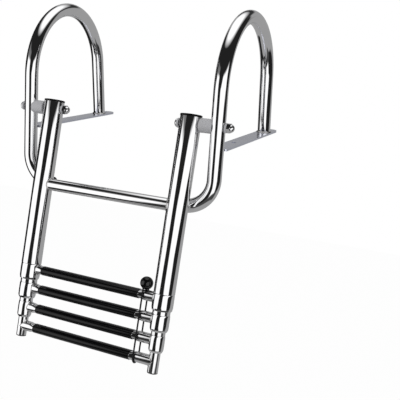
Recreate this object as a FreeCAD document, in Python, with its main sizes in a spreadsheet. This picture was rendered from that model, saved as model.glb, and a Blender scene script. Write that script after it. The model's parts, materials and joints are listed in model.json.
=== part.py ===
import FreeCAD, Part
import math
import os
import re
import Sketcher

os.makedirs("parts", exist_ok=True)
document = FreeCAD.newDocument("PontoonLadder")
Vector = FreeCAD.Vector

# Driving dimensions in millimetres and degrees: x runs from the left handrail to the right one,
# y towards the boat and z up. The origin is on the underside of the left deck plate.
DIMENSIONS = [
    ("rail_gap", 385.0, "between the axes of the two handrail tubes"),
    ("rail_d", 25.4, "handrail tube, outside"),
    ("rail_wall", 1.5, "handrail tube wall"),
    ("arch_start", 101.0, "height where the front leg turns into the arch"),
    ("arch_radius", 124.0, "arch, to the tube axis"),
    ("back_lean", 7.5, "degrees that the back leg leans out towards its foot"),
    ("bend_start", 50.0, "depth below the plate where the stop bend begins"),
    ("stop_overrun", 2.25, "end of the stop bend past the stile axis"),
    ("plate_width", 30.0, "deck plate"),
    ("plate_thickness", 4.0, "deck plate"),
    ("plate_behind_leg", 8.0, "front end of the deck plate behind the front leg axis"),
    ("plate_past_hole", 23.0, "plate end past the centre of the rear hole"),
    ("hole_from_leg", 85.0, "front mounting hole, from the front leg axis"),
    ("hole_spacing", 204.0, "between the two mounting holes of a plate"),
    ("hole_d", 8.5, "mounting hole for an 8 mm bolt"),
    ("weld_gap", 0.05, "between two welded pieces"),
    ("plug_flange", 1.5, "thickness of the plug's flange at a tube end"),
    ("plug_depth", 12.0, "how far a foot cap reaches into its tube"),
    ("bend_plug_depth", 3.0, "how far a stop plug reaches into the bent tube"),
    ("bend_plug_gap", 0.15, "between a stop plug and the bent tube, all round"),
    ("pivot_height", 41.0, "pivot bolt axis above the plate underside"),
    ("bolt_d", 10.0, "pivot bolt"),
    ("bolt_clearance", 0.1, "radial, bolt in its holes"),
    ("bolt_head_d", 15.0, "pivot bolt head"),
    ("bolt_head_height", 5.0, "pivot bolt head"),
    ("washer_d", 17.0, "nylon washer, outside"),
    ("washer_thickness", 3.5, "nylon washer"),
    ("nut_across", 15.5, "domed nut, across its flats"),
    ("nut_height", 6.5, "hexagon of the domed nut"),
    ("dome_d", 14.0, "dome of the nut"),
    ("spacer_length", 20.0, "nylon spacer between handrail and stile"),
    ("spacer_d", 25.0, "nylon spacer"),
    ("spacer_wrap", 5.0, "how far the spacer's saddle reaches round the handrail"),
    ("seat_gap", 0.3, "between pieces that turn or slide past each other"),
    ("stop_gap", 0.3, "between a stile at rest and the stop bend"),
    ("stile_d", 38.1, "stile tube, outside"),
    ("tube2_d", 31.75, "second tube, outside"),
    ("tube3_d", 25.4, "third tube, outside"),
    ("tube4_d", 19.05, "fourth tube, outside"),
    ("tube_wall", 1.2, "wall of the stile and of the sliding tubes"),
    ("stile_above_pivot", 13.0, "stile top above the pivot axis"),
    ("cap_height", 3.0, "top cap above the stile end"),
    ("cap_depth", 5.0, "top cap inside the stile"),
    ("cross_rung_drop", 143.0, "bare cross rung below the pivot axis"),
    ("cross_rung_d", 22.2, "bare cross rung, outside"),
    ("rung1_drop", 307.0, "first tread below the pivot axis"),
    ("tread_pitch", 37.0, "between treads while the ladder is closed"),
    ("seam_above_tread", 10.0, "top of a collar above its tread axis"),
    ("collar_height", 26.0, "collar at its full diameter"),
    ("collar_taper", 4.0, "height of the tapered nose below a collar"),
    ("nose_wall", 1.5, "collar wall at the end of its nose"),
    ("collar_round", 8.0, "rounding between a collar's flank and its nose"),
    ("collar_shoulder", 1.5, "height of the chamfered upper edge of collars 2 and 3"),
    ("collar2_d", 33.3, "second collar, outside"),
    ("collar3_d", 27.0, "third collar, outside"),
    ("spigot_height", 10.0, "collar spigot inside its tube"),
    ("tread_tube_d", 19.05, "tread tube where it is round"),
    ("tread_wall", 1.2, "tread tube wall"),
    ("tread_depth", 21.8, "flattened tread, front to back"),
    ("tread_height", 15.2, "flattened tread, top to bottom"),
    ("flat_run", 13.0, "length over which a tread tube is flattened"),
    ("grip_from_left", 30.0, "left end of the grips from the left tube axes"),
    ("grip_from_right", 46.0, "right end of the grips from the right tube axes"),
    ("grip_wall", 1.1, "rubber grip wall"),
    ("guide_length", 15.0, "nylon guide at the top of a sliding tube"),
    ("bolt_room", 5.7, "between the pivot bolt and the guides under it while the ladder is closed"),
    ("short_travel", 89.0, "how much less the fourth section travels than the other two"),
    ("foot_drop", 19.0, "foot end below the lowest tread axis"),
    ("foot_cap_height", 2.0, "foot cap below the tube end"),
    ("strap_from_right", 36.0, "strap from the right tube axes"),
    ("strap_d", 3.0, "strap cord"),
    ("strap_gap", 0.3, "between the strap and the treads"),
    ("ball_d", 23.4, "strap ball"),
    ("ball_gap", 0.3, "between the strap ball and the first tread"),
]

sizes = document.addObject("Spreadsheet::Sheet", "sizes")
for row, (alias, number, meaning) in enumerate(DIMENSIONS, start=1):
    sizes.set("A%d" % row, alias)
    sizes.set("B%d" % row, str(number))
    sizes.setAlias("B%d" % row, alias)
    sizes.set("C%d" % row, meaning)
document.recompute()
ALIASES = {alias for alias, number, meaning in DIMENSIONS}


def bound(formula):
    # the formula with every size name pointing at its cell
    return re.sub(r"[a-z]\w*", lambda word: "sizes." + word[0] if word[0] in ALIASES else word[0], formula)


def value(formula):
    # the number that a formula over the sizes gives
    result = sizes.evalExpression(bound(formula))
    return float(getattr(result, "Value", result))


# Places that follow from the sizes.
STILE_IN = "(rail_d / 2 + spacer_length + stile_d / 2)"
STILE_X = {"left": STILE_IN, "right": "(rail_gap - %s)" % STILE_IN}
RAIL_X = {"left": "0", "right": "rail_gap"}
LEG_Y = "(-hole_from_leg - hole_spacing / 2)"
ARCH_Y = "(%s + arch_radius)" % LEG_Y
BACK_TOP_Y = "(%s + arch_radius * cos(back_lean))" % ARCH_Y
BACK_TOP_Z = "(arch_start + arch_radius * sin(back_lean))"
BACK_FOOT_Y = "(%s + %s * tan(back_lean))" % (BACK_TOP_Y, BACK_TOP_Z)
BEND_R = "(%s + stop_overrun)" % STILE_IN
STOP_DEPTH = "(bend_start + sqrt(%s ^ 2 - stop_overrun ^ 2))" % BEND_R
TILT = "asin((rail_d / 2 + stile_d / 2 + stop_gap) / (pivot_height + %s))" % STOP_DEPTH
SECTION_D = {1: "stile_d", 2: "tube2_d", 3: "tube3_d", 4: "tube4_d"}
COLLAR_D = {1: "stile_d", 2: "collar2_d", 3: "collar3_d"}
TREAD = {n: "(rung1_drop + %d * tread_pitch)" % (n - 1) for n in (1, 2, 3, 4)}
SEAM = {n: "(%s - seam_above_tread)" % TREAD[n] for n in (1, 2, 3)}
FOOT = "(%s + foot_drop)" % TREAD[4]
LONG_TRAVEL = "(%s - spigot_height - stop_gap - guide_length - bolt_d / 2 - bolt_room)" % SEAM[1]
TRAVEL = {2: LONG_TRAVEL, 3: LONG_TRAVEL, 4: "(%s - short_travel)" % LONG_TRAVEL}
STRAP_SHARE = "((strap_from_right + flat_run - grip_from_right) / flat_run)"
STRAP_DEPTH = "(tread_tube_d + (tread_depth - tread_tube_d) * %s)" % STRAP_SHARE
STRAP_HEIGHT = "(tread_tube_d + (tread_height - tread_tube_d) * %s)" % STRAP_SHARE
BALL_UP = "(%s / 2 + ball_gap + ball_d / 2)" % STRAP_HEIGHT


def bore(n):
    return "(%s - 2 * tube_wall)" % SECTION_D[n]


def tube_top(n):
    # a guide stops under the spigot above it when its section is drawn out
    return "(%s - spigot_height - %s - stop_gap - guide_length)" % (SEAM[n - 1], TRAVEL[n])


finished = {}


def keep(piece, name):
    piece.Label = name
    finished[name] = piece
    return piece


def on_deck(piece, x):
    # a piece modelled about the front leg axis, moved to its handrail
    piece.setExpression("Placement.Base.x", bound(x))


def on_ladder(piece, x="0", drop="0"):
    # a piece of the hanging ladder: its own -z runs down the stile from the pivot axis
    piece.Placement = FreeCAD.Placement(Vector(0, 0, 0), FreeCAD.Rotation(Vector(1, 0, 0), -value(TILT)))
    piece.setExpression("Placement.Base.x", bound(x))
    piece.setExpression("Placement.Base.y", bound("%s - (%s) * sin(%s)" % (LEG_Y, drop, TILT)))
    piece.setExpression("Placement.Base.z", bound("pivot_height - (%s) * cos(%s)" % (drop, TILT)))
    piece.setExpression("Placement.Rotation.Angle", bound(TILT))
    piece.Placement.Rotation.Axis = Vector(-1, 0, 0)


def new_sketch(piece, role, offset="0"):
    # a sketch on one of the piece's own origin planes, moved along its normal
    plane = [f for f in piece.Origin.OriginFeatures if f.Role == role][0]
    sketch = piece.newObject("Sketcher::SketchObject", piece.Name + "_sketch")
    sketch.AttachmentSupport = [(plane, "")]
    sketch.MapMode = "FlatFace"
    sketch.setExpression("AttachmentOffset.Base.z", bound(offset))
    return sketch


def bind(sketch, kind, first, formula):
    # one dimension of a sketch, tied to its formula
    number = sketch.addConstraint(Sketcher.Constraint(kind, *first, value(formula)))
    sketch.setExpression("Constraints[%d]" % number, bound(formula))


def hold_point(sketch, geometry, end, x, y):
    # a point of a sketch held at its distances from the sketch's origin
    for kind, zero_axis, formula in (("DistanceX", -2, x), ("DistanceY", -1, y)):
        if abs(value(formula)) < 1e-9:
            sketch.addConstraint(Sketcher.Constraint("PointOnObject", geometry, end, zero_axis))
        else:
            bind(sketch, kind, (-1, 1, geometry, end), formula)


def add_circle(sketch, diameter, x="0", y="0"):
    centre = Vector(value(x), value(y), 0)
    circle = sketch.addGeometry(Part.Circle(centre, Vector(0, 0, 1), value(diameter) / 2))
    hold_point(sketch, circle, 3, x, y)
    bind(sketch, "Diameter", (circle,), diameter)
    return circle


def add_outline(sketch, corners):
    # a closed outline of straight sides through corners given as pairs of formulas
    points = [Vector(value(x), value(y), 0) for x, y in corners]
    count = len(points)
    sides = [sketch.addGeometry(Part.LineSegment(points[i], points[(i + 1) % count])) for i in range(count)]
    for i, side in enumerate(sides):
        sketch.addConstraint(Sketcher.Constraint("Coincident", side, 2, sides[(i + 1) % count], 1))
        hold_point(sketch, side, 1, *corners[i])
    return sides


def pad(piece, sketch, length, midplane=False, reverse=False):
    feature = piece.newObject("PartDesign::Pad", piece.Name + "_pad")
    feature.Profile = sketch
    feature.Length = value(length)
    feature.setExpression("Length", bound(length))
    if midplane:
        feature.SideType = "Symmetric"
    feature.Reversed = reverse
    return feature


def cut_through(piece, sketch):
    # a cut along the sketch's normal, both ways
    feature = piece.newObject("PartDesign::Pocket", piece.Name + "_cut")
    feature.Profile = sketch
    feature.Type = "ThroughAll"
    feature.SideType = "Symmetric"
    return feature


def turn(piece, corners):
    # an outline of (radius, height) corners turned about z
    sketch = new_sketch(piece, "XZ_Plane")
    add_outline(sketch, corners)
    feature = piece.newObject("PartDesign::Revolution", piece.Name + "_turned")
    feature.Profile = sketch
    feature.ReferenceAxis = (sketch, ["V_Axis"])
    feature.Angle = 360
    return feature


def round_off(piece, base, radius, height, rounding):
    # rounds the circular edge of a turned piece that has this radius and height
    document.recompute()
    names = [
        "Edge%d" % i for i, edge in enumerate(base.Shape.Edges, start=1)
        if isinstance(edge.Curve, Part.Circle) and abs(edge.Curve.Radius - radius) < 1e-6
        and abs(edge.Curve.Center.z - height) < 1e-6
    ]
    feature = piece.newObject("PartDesign::Fillet", piece.Name + "_rounded")
    feature.Base = (base, names)
    feature.Radius = value(rounding)
    feature.setExpression("Radius", bound(rounding))


def new_body(name):
    return keep(document.addObject("PartDesign::Body", name), name)


def lay_along_x(piece):
    # a turned piece, its z axis laid along the row's x
    piece.Placement.Rotation = FreeCAD.Rotation(Vector(0, 1, 0), 90)


def on_pivot(piece, x):
    # a piece turned about z, laid on the pivot axis with its foot at x
    lay_along_x(piece)
    piece.setExpression("Placement.Base.x", bound(x))
    piece.setExpression("Placement.Base.y", bound(LEG_Y))
    piece.setExpression("Placement.Base.z", bound("pivot_height"))


def ring_profile(piece, outside, inside, role="XY_Plane", offset="0", y="0"):
    sketch = new_sketch(piece, role, offset)
    add_circle(sketch, outside, "0", y)
    add_circle(sketch, inside, "0", y)
    return sketch


def sweep(piece, profile, path):
    feature = piece.newObject("PartDesign::AdditivePipe", piece.Name + "_bend")
    feature.Profile = profile
    feature.Spine = (path, ["Edge%d" % (i + 1) for i in range(path.GeometryCount)])
    return feature


def hoop_path(piece):
    # front leg, arch and back leg in the plane of the hoop
    path = new_sketch(piece, "YZ_Plane")
    centre = Vector(value(ARCH_Y), value("arch_start"), 0)
    lean = math.radians(value("back_lean"))
    leg = (Vector(value(LEG_Y), -value("bend_start"), 0), Vector(value(LEG_Y), value("arch_start"), 0))
    down = (Vector(value(BACK_TOP_Y), value(BACK_TOP_Z), 0), Vector(value(BACK_FOOT_Y), 0, 0))
    front = path.addGeometry(Part.LineSegment(*leg))
    circle = Part.Circle(centre, Vector(0, 0, 1), value("arch_radius"))
    arch = path.addGeometry(Part.ArcOfCircle(circle, lean, math.pi))
    back = path.addGeometry(Part.LineSegment(*down))
    path.addConstraint(Sketcher.Constraint("Coincident", front, 2, arch, 2))
    path.addConstraint(Sketcher.Constraint("Coincident", arch, 1, back, 1))
    hold_point(path, front, 1, LEG_Y, "-bend_start")
    hold_point(path, front, 2, LEG_Y, "arch_start")
    hold_point(path, arch, 3, ARCH_Y, "arch_start")
    bind(path, "DistanceY", (-1, 1, arch, 1), BACK_TOP_Z)
    hold_point(path, back, 2, BACK_FOOT_Y, "0")
    return path


def stop_bend_path(piece, inward):
    # a quarter turn from the front leg in behind the stile
    path = new_sketch(piece, "XZ_Plane", "-" + LEG_Y)
    radius, start = value(BEND_R), -value("bend_start")
    centre = Vector(inward * radius, start, 0)
    first, last = (math.pi, 1.5 * math.pi) if inward > 0 else (1.5 * math.pi, 2 * math.pi)
    arc = path.addGeometry(Part.ArcOfCircle(Part.Circle(centre, Vector(0, 0, 1), radius), first, last))
    leg_end, stop_end = (1, 2) if inward > 0 else (2, 1)
    path.addConstraint(Sketcher.Constraint("PointOnObject", arc, leg_end, -2))
    bind(path, "DistanceY", (-1, 1, arc, leg_end), "-bend_start")
    bind(path, "DistanceY", (-1, 1, arc, 3), "-bend_start")
    bind(path, "Radius", (arc,), BEND_R)
    path.addConstraint(Sketcher.Constraint("Vertical", arc, 3, arc, stop_end))
    return path


def handrail(side, inward):
    piece = new_body("handrail_" + side)
    inside = "(rail_d - 2 * rail_wall)"
    hoop = ring_profile(piece, "rail_d", inside, offset="-bend_start", y=LEG_Y)
    sweep(piece, hoop, hoop_path(piece))
    bend = ring_profile(piece, "rail_d", inside, offset="-bend_start", y=LEG_Y)
    sweep(piece, bend, stop_bend_path(piece, inward))
    # the back leg's foot is cut level on the deck plate
    foot = new_sketch(piece, "YZ_Plane")
    far, top = "(hole_spacing + plate_width)", "(plate_thickness + weld_gap)"
    add_outline(foot, [("0", "-rail_d"), (far, "-rail_d"), (far, top), ("0", top)])
    cut_through(piece, foot)
    pivot = new_sketch(piece, "YZ_Plane")
    add_circle(pivot, "bolt_d + 2 * bolt_clearance", LEG_Y, "pivot_height")
    cut_through(piece, pivot)
    on_deck(piece, RAIL_X[side])


def deck_plate(side):
    piece = new_body("deck_plate_" + side)
    half, end = "(plate_width / 2)", "(hole_spacing / 2 + plate_past_hole - plate_width / 2)"
    front = "(%s + plate_behind_leg)" % LEG_Y
    outline = new_sketch(piece, "XY_Plane")
    corners = [(half, end), (half, front), ("-" + half, front), ("-" + half, end)]
    points = [Vector(value(x), value(y), 0) for x, y in corners]
    sides = [outline.addGeometry(Part.LineSegment(*ends)) for ends in zip(points, points[1:])]
    circle = Part.Circle(Vector(0, value(end), 0), Vector(0, 0, 1), value(half))
    rounded = outline.addGeometry(Part.ArcOfCircle(circle, 0, math.pi))
    for i, (side_line, corner) in enumerate(zip(sides, corners)):
        hold_point(outline, side_line, 1, *corner)
        following = sides[i + 1] if i < 2 else rounded
        outline.addConstraint(Sketcher.Constraint("Coincident", side_line, 2, following, 1 if i < 2 else 2))
    outline.addConstraint(Sketcher.Constraint("Coincident", rounded, 1, sides[0], 1))
    hold_point(outline, rounded, 3, "0", end)
    bind(outline, "DistanceY", (-1, 1, rounded, 2), end)
    pad(piece, outline, "plate_thickness")
    cope = new_sketch(piece, "XY_Plane")
    add_circle(cope, "rail_d + 2 * weld_gap", "0", LEG_Y)
    cut_through(piece, cope)
    holes = new_sketch(piece, "XY_Plane")
    add_circle(holes, "hole_d", "0", "-hole_spacing / 2")
    add_circle(holes, "hole_d", "0", "hole_spacing / 2")
    cut_through(piece, holes)
    on_deck(piece, RAIL_X[side])


def stop_plug(side, inward):
    piece = new_body("stop_plug_" + side)
    inner = "(rail_d / 2 - rail_wall - bend_plug_gap)"
    turn(piece, [
        ("0", "-bend_plug_depth"), (inner, "-bend_plug_depth"), (inner, "weld_gap"),
        ("rail_d / 2", "weld_gap"), ("rail_d / 2", "plug_flange / 2"), (inner, "plug_flange"),
        ("0", "plug_flange"),
    ])
    piece.Placement.Rotation = FreeCAD.Rotation(Vector(0, 1, 0), 90 * inward)
    piece.setExpression("Placement.Base.x", bound("%s + %d * %s" % (RAIL_X[side], inward, BEND_R)))
    piece.setExpression("Placement.Base.y", bound(LEG_Y))
    piece.setExpression("Placement.Base.z", bound("-bend_start - %s" % BEND_R))


def pivot_parts(side):
    # from left to right along the bolt: head, washer, tube, spacer, tube, washer, domed nut
    rail, stile = RAIL_X[side], STILE_X[side]
    if side == "left":
        first, last = "(%s - rail_d / 2)" % rail, "(%s + stile_d / 2)" % stile
        saddle = "(spacer_wrap - weld_gap - rail_d / 2)"
        spacer_at = "(%s + rail_d / 2 + weld_gap - spacer_wrap)" % rail
    else:
        first, last = "(%s - stile_d / 2)" % stile, "(%s + rail_d / 2)" % rail
        saddle = "(spacer_length - seat_gap + rail_d / 2)"
        spacer_at = "(%s + stile_d / 2 + seat_gap)" % stile
    under_head = "(%s - washer_thickness - 2 * seat_gap)" % first
    grip_length = "(%s - %s + washer_thickness + seat_gap)" % (last, under_head)
    bolt = new_body("pivot_bolt_" + side)
    head = "(bolt_head_d / 2)"
    turn(bolt, [
        ("0", "-bolt_head_height"), (head + " * 0.7", "-bolt_head_height"),
        (head, "-bolt_head_height * 0.45"), (head, "0"), ("bolt_d / 2", "0"),
        ("bolt_d / 2", grip_length + " + nut_height"),
        ("0", grip_length + " + nut_height"),
    ])
    on_pivot(bolt, under_head)
    hole = "(bolt_d / 2 + bolt_clearance)"
    rings("pivot_washers_" + side, [
        ("washer_d / 2", hole, "0", "washer_thickness", lambda ring, x=x: on_pivot(ring, x))
        for x in ("%s + weld_gap" % under_head, "%s + seat_gap" % last)
    ])
    spacer = new_body("pivot_spacer_" + side)
    length = "(spacer_length - seat_gap - weld_gap + spacer_wrap)"
    turn(spacer, [(hole, "0"), ("spacer_d / 2", "0"), ("spacer_d / 2", length), (hole, length)])
    rail_seat = new_sketch(spacer, "YZ_Plane")
    add_circle(rail_seat, "rail_d + 2 * weld_gap", "0", saddle)
    cut_through(spacer, rail_seat)
    on_pivot(spacer, spacer_at)
    nut = new_body("pivot_nut_" + side)
    domed_nut(nut)
    on_pivot(nut, "%s + washer_thickness + seat_gap + weld_gap" % last)


def domed_nut(piece):
    outline = new_sketch(piece, "XY_Plane")
    corners = []
    for i in range(6):
        turned = "%d" % (60 * i + 30)
        reach = "(nut_across / 2 / cos(30))"
        corners.append(("%s * cos(%s)" % (reach, turned), "%s * sin(%s)" % (reach, turned)))
    add_outline(outline, corners)
    pad(piece, outline, "nut_height")
    dome = new_sketch(piece, "XZ_Plane")
    radius = value("dome_d") / 2
    base = value("nut_height") - 1
    circle = Part.Circle(Vector(0, base, 0), Vector(0, 0, 1), radius)
    arc = dome.addGeometry(Part.ArcOfCircle(circle, 0, math.pi / 2))
    floor = dome.addGeometry(Part.LineSegment(Vector(0, base, 0), Vector(radius, base, 0)))
    axis = dome.addGeometry(Part.LineSegment(Vector(0, base + radius, 0), Vector(0, base, 0)))
    dome.addConstraint(Sketcher.Constraint("Coincident", floor, 2, arc, 1))
    dome.addConstraint(Sketcher.Constraint("Coincident", arc, 2, axis, 1))
    dome.addConstraint(Sketcher.Constraint("Coincident", axis, 2, floor, 1))
    dome.addConstraint(Sketcher.Constraint("Coincident", arc, 3, floor, 1))
    dome.addConstraint(Sketcher.Constraint("PointOnObject", arc, 3, -2))
    dome.addConstraint(Sketcher.Constraint("PointOnObject", axis, 1, -2))
    dome.addConstraint(Sketcher.Constraint("Horizontal", floor))
    bind(dome, "DistanceY", (-1, 1, arc, 3), "nut_height - 1")
    bind(dome, "Radius", (arc,), "dome_d / 2")
    feature = piece.newObject("PartDesign::Revolution", piece.Name + "_dome")
    feature.Profile = dome
    feature.ReferenceAxis = (dome, ["V_Axis"])
    feature.Angle = 360
    bolt_hole = new_sketch(piece, "XY_Plane")
    add_circle(bolt_hole, "bolt_d + 2 * bolt_clearance")
    hole = piece.newObject("PartDesign::Pocket", piece.Name + "_hole")
    hole.Profile = bolt_hole
    hole.Length = value("nut_height + 1")
    hole.setExpression("Length", bound("nut_height + 1"))
    hole.Reversed = True


def ladder_tube(name, side, n, top, bottom):
    # a straight tube of section n between two drops below the pivot axis
    piece = new_body(name)
    tube = ring_profile(piece, SECTION_D[n], bore(n), offset="-(%s)" % bottom)
    pad(piece, tube, "%s - (%s)" % (bottom, top))
    if n == 1:
        pivot = new_sketch(piece, "YZ_Plane")
        add_circle(pivot, "bolt_d + 2 * bolt_clearance + 2 * seat_gap")
        cut_through(piece, pivot)
    on_ladder(piece, STILE_X[side])


def stile_cap(side):
    piece = new_body("stile_cap_" + side)
    inner = "(%s / 2 - weld_gap)" % bore(1)
    top = "stile_above_pivot + cap_height"
    turn(piece, [
        ("0", "stile_above_pivot - cap_depth"), (inner, "stile_above_pivot - cap_depth"),
        (inner, "stile_above_pivot + weld_gap"), ("stile_d / 2", "stile_above_pivot + weld_gap"),
        ("stile_d / 2", "stile_above_pivot + cap_height / 2"), ("stile_d / 2 - cap_height / 2", top),
        ("0", top),
    ])
    on_ladder(piece, STILE_X[side])


def collar(side, n):
    # it carries the tread, closes the tube end and guides the next tube
    piece = new_body("collar_%d_%s" % (n, side))
    outer, hole = "(%s / 2)" % COLLAR_D[n], "(%s / 2 + seat_gap)" % SECTION_D[n + 1]
    spigot, shoulder = "(%s / 2 - weld_gap)" % bore(n), "(%s / 2)" % SECTION_D[n]
    low = "(-collar_height - collar_taper)"
    corners = [(hole, low), ("%s + nose_wall" % hole, low), (outer, "-collar_height")]
    if n == 1:
        corners.append((outer, "-weld_gap"))
    else:
        corners += [(outer, "-collar_shoulder"), (shoulder, "-weld_gap")]
    corners += [(spigot, "-weld_gap"), (spigot, "spigot_height"), (hole, "spigot_height")]
    sleeve = turn(piece, corners)
    round_off(piece, sleeve, value(outer), -value("collar_height"), "collar_round")
    on_ladder(piece, STILE_X[side], SEAM[n])


def rings(name, profiles):
    # like rings of one body in one node: each has its outer and inner radius, its two ends and its place
    made = []
    for i, (outside, inside, foot, head, place) in enumerate(profiles):
        parts = []
        for part, radius in (("outside", outside), ("inside", inside)):
            tube = document.addObject("Part::Cylinder", "%s_%s_%d" % (name, part, i))
            tube.setExpression("Radius", bound(radius))
            tube.setExpression("Height", bound("%s - (%s)" % (head, foot)))
            place(tube)
            parts.append(tube)
        ring = document.addObject("Part::Cut", "%s_%d" % (name, i))
        ring.Base, ring.Tool = parts
        made.append(ring)
    piece = document.addObject("Part::Compound", name)
    piece.Links = made
    return keep(piece, name)


def guides(n):
    # nylon guides on the tops of the sliding tubes, running in the bores above them
    outer, inner = "(%s / 2 - seat_gap)" % bore(n - 1), "(%s / 2 + weld_gap)" % SECTION_D[n]
    foot = "(%s + guide_length)" % tube_top(n)
    rings("guides_%d" % n, [
        (outer, inner, "0", "guide_length", lambda tube, side=side: on_ladder(tube, STILE_X[side], foot))
        for side in ("left", "right")
    ])


def cross_rung():
    piece = new_body("cross_rung")
    tube = new_sketch(piece, "YZ_Plane", STILE_X["left"])
    add_circle(tube, "cross_rung_d")
    add_circle(tube, "cross_rung_d - 2 * tread_wall")
    pad(piece, tube, "%s - %s" % (STILE_X["right"], STILE_X["left"]))
    cope_ends(piece, "stile_d")
    on_ladder(piece, "0", "cross_rung_drop")


def cope_ends(piece, diameter):
    for side in ("left", "right"):
        cope = new_sketch(piece, "XY_Plane")
        add_circle(cope, "%s + 2 * weld_gap" % diameter, STILE_X[side], "0")
        cut_through(piece, cope)


# Turns a section drawn in x and y to face along the row's x, its long axis front to back.
ACROSS = FreeCAD.Rotation(Vector(1, 1, 1), 120)


def section(name, x, depth, height):
    if depth == height:
        shape = document.addObject("Part::Circle", name)
        shape.setExpression("Radius", bound("(%s) / 2" % depth))
    else:
        shape = document.addObject("Part::Ellipse", name)
        shape.setExpression("MajorRadius", bound("(%s) / 2" % depth))
        shape.setExpression("MinorRadius", bound("(%s) / 2" % height))
    shape.Placement = FreeCAD.Placement(Vector(0, 0, 0), ACROSS)
    shape.setExpression("Placement.Base.x", bound(x))
    return shape


def loft(name, sections):
    feature = document.addObject("Part::Loft", name)
    feature.Sections = sections
    feature.Solid = True
    feature.Ruled = True
    return feature


def tread_core(name, shrink):
    # a tube that is round at both ends and flattened under the grip
    round_d = "tread_tube_d - 2 * %s" % shrink
    depth, height = "tread_depth - 2 * %s" % shrink, "tread_height - 2 * %s" % shrink
    left, right = STILE_X["left"], STILE_X["right"]
    grip_left, grip_right = "(%s + grip_from_left)" % left, "(%s - grip_from_right)" % right
    stations = [
        (left, round_d, round_d), ("%s - flat_run" % grip_left, round_d, round_d),
        (grip_left, depth, height), (grip_right, depth, height),
        ("%s + flat_run" % grip_right, round_d, round_d), (right, round_d, round_d),
    ]
    return loft(name, [section("%s_%d" % (name, i), *s) for i, s in enumerate(stations)])


def tread(n):
    name = "tread_%d" % n
    outer = tread_core(name + "_outer", "0")
    inner = tread_core(name + "_inner", "tread_wall")
    tools = [inner]
    for side in ("left", "right"):
        joint = document.addObject("Part::Cylinder", "%s_cope_%s" % (name, side))
        carrier = COLLAR_D.get(n, SECTION_D[n])
        joint.setExpression("Radius", bound("%s / 2 + weld_gap" % carrier))
        joint.setExpression("Height", bound("2 * tread_tube_d"))
        joint.setExpression("Placement.Base.x", bound(STILE_X[side]))
        joint.setExpression("Placement.Base.z", bound("-tread_tube_d"))
        tools.append(joint)
    hollow = document.addObject("Part::MultiFuse", name + "_tools")
    hollow.Shapes = tools
    piece = document.addObject("Part::Cut", name)
    piece.Base = outer
    piece.Tool = hollow
    keep(piece, name)
    on_ladder(piece, "0", TREAD[n])


def grip(n):
    name = "grip_%d" % n
    ends = ["(%s + grip_from_left)" % STILE_X["left"], "(%s - grip_from_right)" % STILE_X["right"]]
    outer = loft(name + "_outer", [
        section("%s_outer_%d" % (name, i), x, "tread_depth + 2 * grip_wall", "tread_height + 2 * grip_wall")
        for i, x in enumerate(ends)
    ])
    inner = loft(name + "_inner", [
        section("%s_inner_%d" % (name, i), x, "tread_depth + 2 * weld_gap", "tread_height + 2 * weld_gap")
        for i, x in enumerate(ends)
    ])
    piece = document.addObject("Part::Cut", name)
    piece.Base = outer
    piece.Tool = inner
    keep(piece, name)
    on_ladder(piece, "0", TREAD[n])


def foot_cap(side):
    piece = new_body("foot_cap_" + side)
    inner = "(%s / 2 - weld_gap)" % bore(4)
    turn(piece, [
        ("0", "plug_depth"), (inner, "plug_depth"), (inner, "-weld_gap"), ("tube4_d / 2", "-weld_gap"),
        ("tube4_d / 2", "-foot_cap_height / 2"), ("tube4_d / 2 - foot_cap_height / 2", "-foot_cap_height"),
        ("0", "-foot_cap_height"),
    ])
    on_ladder(piece, STILE_X[side], FOOT)


def strap_cord():
    # down the front of the treads, round the lowest one and up behind them to the ball
    piece = new_body("strap_cord")
    reach = "(%s / 2 + strap_gap + strap_d / 2)" % STRAP_DEPTH
    under = "(%s / 2 + strap_gap + strap_d / 2)" % STRAP_HEIGHT
    top, bottom = "(%s - ball_d / 4)" % BALL_UP, "(3 * tread_pitch + %s - %s)" % (under, reach)
    path = new_sketch(piece, "YZ_Plane")
    half, high, low = value(reach), value(top), -value(bottom)
    front = path.addGeometry(Part.LineSegment(Vector(-half, high, 0), Vector(-half, low, 0)))
    circle = Part.Circle(Vector(0, low, 0), Vector(0, 0, 1), half)
    loop = path.addGeometry(Part.ArcOfCircle(circle, math.pi, 2 * math.pi))
    back = path.addGeometry(Part.LineSegment(Vector(half, low, 0), Vector(half, high, 0)))
    path.addConstraint(Sketcher.Constraint("Vertical", front))
    path.addConstraint(Sketcher.Constraint("Vertical", back))
    path.addConstraint(Sketcher.Constraint("Tangent", front, 2, loop, 1))
    path.addConstraint(Sketcher.Constraint("Tangent", loop, 2, back, 1))
    bind(path, "DistanceX", (front, 1, -1, 1), reach)
    bind(path, "DistanceX", (-1, 1, back, 1), reach)
    bind(path, "DistanceY", (-1, 1, front, 1), top)
    bind(path, "DistanceY", (-1, 1, back, 2), top)
    bind(path, "DistanceY", (loop, 3, -1, 1), bottom)
    profile = new_sketch(piece, "XY_Plane", top)
    add_circle(profile, "strap_d", "0", "-" + reach)
    sweep(piece, profile, path)
    on_ladder(piece, "(%s - strap_from_right)" % STILE_X["right"], TREAD[1])


def strap_ball():
    piece = document.addObject("Part::Sphere", "strap_ball")
    piece.setExpression("Radius", bound("ball_d / 2"))
    keep(piece, "strap_ball")
    on_ladder(piece, "(%s - strap_from_right)" % STILE_X["right"], "%s - %s" % (TREAD[1], BALL_UP))


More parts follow.
